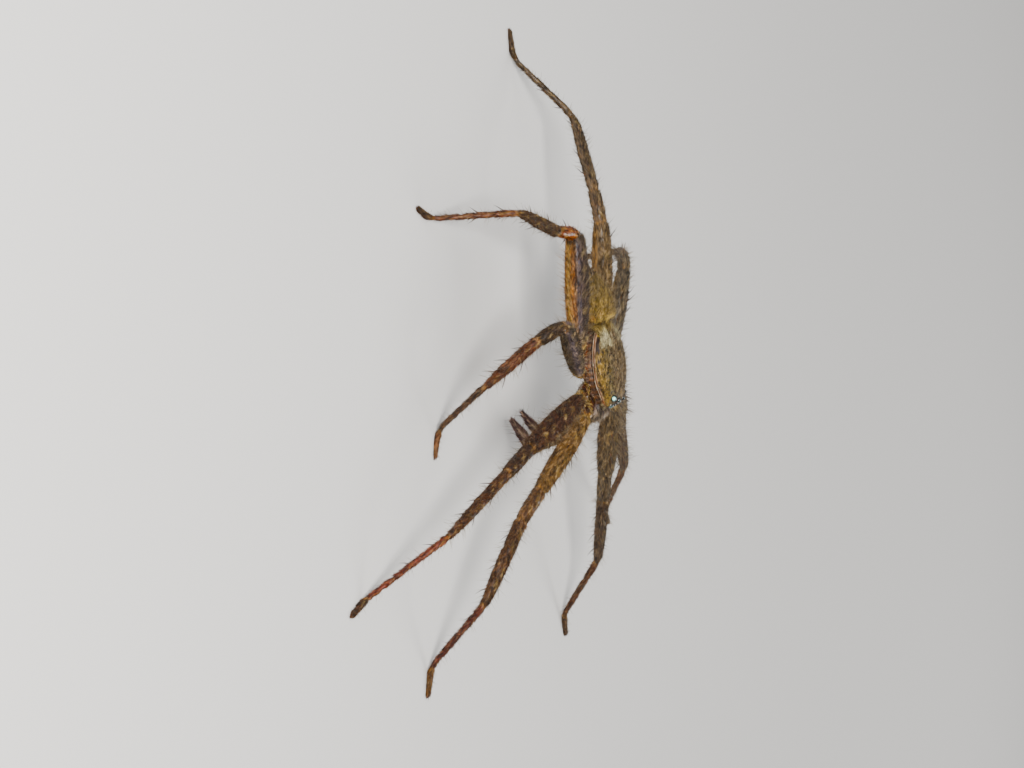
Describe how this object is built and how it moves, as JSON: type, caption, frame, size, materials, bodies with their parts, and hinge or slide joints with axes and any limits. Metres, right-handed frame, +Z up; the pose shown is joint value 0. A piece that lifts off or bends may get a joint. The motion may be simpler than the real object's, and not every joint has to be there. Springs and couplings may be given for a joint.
{
  "type": "huntsman spider",
  "caption": "Still, life-size huntsman spider with legs spread wide, jaws, palps and eyes, resting on the pads of its feet",
  "frame": {"origin": "on the floor, under the middle of the box round the whole spider", "axes": "+Z up, the head looks along -Y, the right legs reach to -X"},
  "size_m": [0.0782, 0.072, 0.014],
  "materials": {
    "carapace": "matt grey-olive brown, close hair",
    "underside": "smooth orange-brown, satin",
    "abdomen": "tan, dense short hair",
    "jaw": "dark purple-brown, satin, bristly",
    "fang": "near black, glossy",
    "palp": "brown, hairy",
    "eye": "dark and glossy, with a pale shine",
    "upper_leg": "mottled grey-brown, short hair and standing bristles",
    "lower_leg": "red-brown, satin",
    "foot": "dark brown, brush of fine hair beneath"
  },
  "bodies": {
    "root": {"eye_front_middle_r": "eye", "eye_front_side_r": "eye", "eye_rear_middle_r": "eye", "eye_rear_side_r": "eye", "eye_front_middle_l": "eye", "eye_front_side_l": "eye", "eye_rear_middle_l": "eye", "eye_rear_side_l": "eye", "carapace": "carapace", "sternum": "underside", "abdomen": "abdomen", "chelicera_r": "jaw", "fang_r": "fang", "chelicera_l": "jaw", "fang_l": "fang", "palp_r_femur": "palp", "palp_r_shank": "palp", "palp_l_femur": "palp", "palp_l_shank": "palp", "leg_r1_femur": "upper_leg", "leg_r1_patella": "upper_leg", "leg_r1_tibia": "upper_leg", "leg_r1_metatarsus": "lower_leg", "leg_r1_tarsus": "foot", "leg_r2_femur": "upper_leg", "leg_r2_patella": "upper_leg", "leg_r2_tibia": "upper_leg", "leg_r2_metatarsus": "lower_leg", "leg_r2_tarsus": "foot", "leg_r3_femur": "upper_leg", "leg_r3_patella": "upper_leg", "leg_r3_tibia": "upper_leg", "leg_r3_metatarsus": "lower_leg", "leg_r3_tarsus": "foot", "leg_r4_femur": "upper_leg", "leg_r4_patella": "upper_leg", "leg_r4_tibia": "upper_leg", "leg_r4_metatarsus": "lower_leg", "leg_r4_tarsus": "foot", "leg_l1_femur": "upper_leg", "leg_l1_patella": "upper_leg", "leg_l1_tibia": "upper_leg", "leg_l1_metatarsus": "lower_leg", "leg_l1_tarsus": "foot", "leg_l2_femur": "upper_leg", "leg_l2_patella": "upper_leg", "leg_l2_tibia": "upper_leg", "leg_l2_metatarsus": "lower_leg", "leg_l2_tarsus": "foot", "leg_l3_femur": "upper_leg", "leg_l3_patella": "upper_leg", "leg_l3_tibia": "upper_leg", "leg_l3_metatarsus": "lower_leg", "leg_l3_tarsus": "foot", "leg_l4_femur": "upper_leg", "leg_l4_patella": "upper_leg", "leg_l4_tibia": "upper_leg", "leg_l4_metatarsus": "lower_leg", "leg_l4_tarsus": "foot"}
  },
  "joints": []
}
